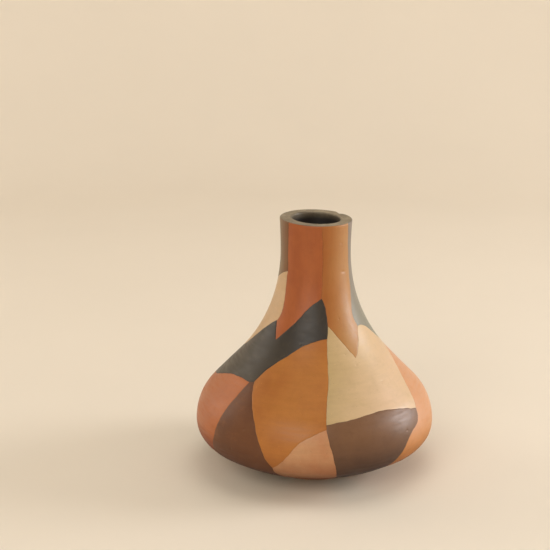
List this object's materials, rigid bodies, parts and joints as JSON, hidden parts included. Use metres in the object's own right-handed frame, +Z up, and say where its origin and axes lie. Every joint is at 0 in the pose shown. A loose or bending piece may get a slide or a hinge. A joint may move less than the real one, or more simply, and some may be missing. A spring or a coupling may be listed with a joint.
{
  "type": "pottery vase",
  "caption": "Round-bellied bottle vase with a slender flared neck and flat lip, burnished and painted all over with a patchwork of earth-coloured slips.",
  "frame": {"origin": "centre of the resting face of the foot, on the pot's axis", "axes": "+Z up along the pot's axis through the mouth; the side of the pattern seen in the picture faces -Y, and +X is to that viewer's right"},
  "size_m": [0.15, 0.15, 0.16],
  "materials": {
    "bare_clay": "matt fired earthenware, unglazed",
    "olive_slip": "stone-burnished clay slip, soft satin sheen, unglazed",
    "sand_slip": "stone-burnished clay slip, soft satin sheen, unglazed",
    "rust_slip": "stone-burnished clay slip, soft satin sheen, unglazed",
    "ochre_slip": "stone-burnished clay slip, soft satin sheen, unglazed",
    "grey_slip": "stone-burnished clay slip, soft satin sheen, unglazed",
    "charcoal_slip": "stone-burnished clay slip, soft satin sheen, unglazed",
    "sienna_slip": "stone-burnished clay slip, soft satin sheen, unglazed",
    "salmon_slip": "stone-burnished clay slip, soft satin sheen, unglazed",
    "taupe_slip": "stone-burnished clay slip, soft satin sheen, unglazed",
    "peach_slip": "stone-burnished clay slip, soft satin sheen, unglazed",
    "brown_slip": "stone-burnished clay slip, soft satin sheen, unglazed",
    "cream_slip": "stone-burnished clay slip, soft satin sheen, unglazed",
    "orange_slip": "stone-burnished clay slip, soft satin sheen, unglazed",
    "umber_slip": "stone-burnished clay slip, soft satin sheen, unglazed",
    "gold_slip": "stone-burnished clay slip, soft satin sheen, unglazed",
    "brick_slip": "stone-burnished clay slip, soft satin sheen, unglazed",
    "stone_slip": "stone-burnished clay slip, soft satin sheen, unglazed",
    "chestnut_slip": "stone-burnished clay slip, soft satin sheen, unglazed",
    "honey_slip": "stone-burnished clay slip, soft satin sheen, unglazed",
    "slate_slip": "stone-burnished clay slip, soft satin sheen, unglazed",
    "fawn_slip": "stone-burnished clay slip, soft satin sheen, unglazed",
    "lip_slip": "stone-burnished clay slip, soft satin sheen, unglazed"
  },
  "bodies": {
    "root": {"base_slab": "bare_clay", "lower_bowl": "bare_clay", "belly_coil": "bare_clay", "shoulder_coil": "bare_clay", "flare_coil": "bare_clay", "neck_coil": "bare_clay", "lip_coil": "bare_clay", "olive_neck_slip": "olive_slip", "sand_shoulder_slip": "sand_slip", "rust_neck_slip": "rust_slip", "ochre_neck_slip": "ochre_slip", "grey_shoulder_slip": "grey_slip", "charcoal_band_slip": "charcoal_slip", "sienna_belly_slip": "sienna_slip", "salmon_belly_slip": "salmon_slip", "taupe_belly_slip": "taupe_slip", "peach_belly_slip": "peach_slip", "brown_belly_slip": "brown_slip", "cream_shoulder_slip": "cream_slip", "orange_flank_slip": "orange_slip", "umber_neck_slip": "umber_slip", "gold_neck_slip": "gold_slip", "brick_shoulder_slip": "brick_slip", "stone_shoulder_slip": "stone_slip", "chestnut_belly_slip": "chestnut_slip", "honey_belly_slip": "honey_slip", "slate_belly_slip": "slate_slip", "fawn_belly_slip": "fawn_slip", "lip_and_throat_slip": "lip_slip"}
  },
  "joints": []
}
